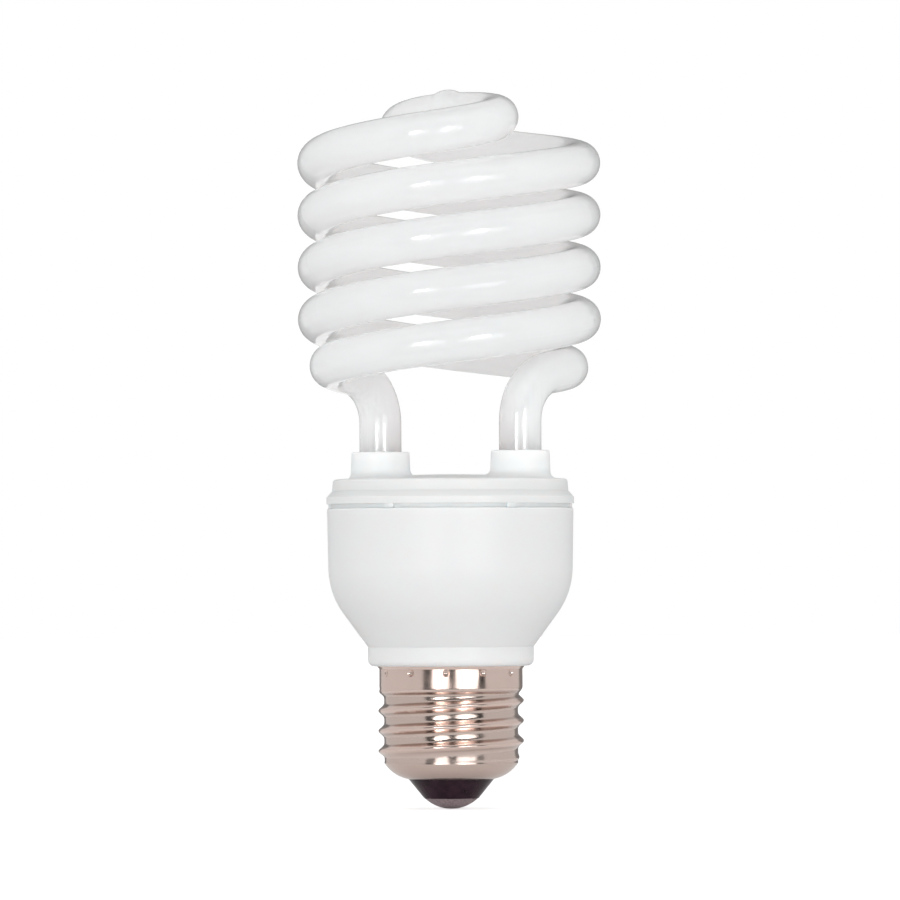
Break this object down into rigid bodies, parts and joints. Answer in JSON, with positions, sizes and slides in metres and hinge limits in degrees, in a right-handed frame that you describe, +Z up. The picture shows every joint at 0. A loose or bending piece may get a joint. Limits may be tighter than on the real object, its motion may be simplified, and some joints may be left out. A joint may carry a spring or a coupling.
{
  "type": "spiral energy saving bulb",
  "caption": "Spiral compact fluorescent lamp: white double-helix glass tube on a plastic ballast housing with a medium screw base, for screwing into a lampholder.",
  "frame": {"origin": "tip of the centre contact, on the lamp's axis", "axes": "+Z up the lamp's axis from the contact to the crown of the spiral, +X to the right in the picture, -Y towards its camera"},
  "size_m": [0.0546, 0.0546, 0.1296],
  "materials": {
    "coated_glass": "white phosphor-coated glass, glossy",
    "cover_plastic": "white moulded plastic, satin",
    "housing_plastic": "white moulded plastic, satin",
    "shell_nickel": "nickel-plated brass, bright rolled sheet",
    "black_glass": "black pressed glass, glossy",
    "contact_solder": "tinned contact, satin",
    "cement": "cured lamp cement",
    "board_laminate": "paper laminate",
    "capacitor_sleeve": "shrink sleeve",
    "ferrite": "sintered ferrite",
    "bobbin_plastic": "moulded phenolic",
    "enamelled_copper": "enamelled copper wire",
    "moulded_epoxy": "moulded epoxy",
    "film_capacitor_coat": "dipped coating",
    "resistor_coat": "lacquered ceramic",
    "tinned_wire": "tinned wire",
    "wire_insulation": "silicone insulation"
  },
  "bodies": {
    "root": {"spiral_tube": "coated_glass", "tube_cover": "cover_plastic", "tube_cement": "cement", "ballast_housing": "housing_plastic", "screw_shell": "shell_nickel", "base_insulator": "black_glass", "centre_contact": "contact_solder", "ballast_board": "board_laminate", "bulk_capacitor": "capacitor_sleeve", "choke_core": "ferrite", "choke_bobbin": "bobbin_plastic", "choke_winding": "enamelled_copper", "drive_toroid": "ferrite", "toroid_windings": "enamelled_copper", "power_transistors": "moulded_epoxy", "resonant_capacitor": "film_capacitor_coat", "blocking_capacitor": "film_capacitor_coat", "rectifier_diodes": "moulded_epoxy", "filter_core": "ferrite", "filter_winding": "enamelled_copper", "fuse_resistor": "resistor_coat", "wrap_pins": "tinned_wire", "tube_lead_wires": "tinned_wire", "live_wire": "wire_insulation", "neutral_wire": "wire_insulation"}
  },
  "joints": []
}
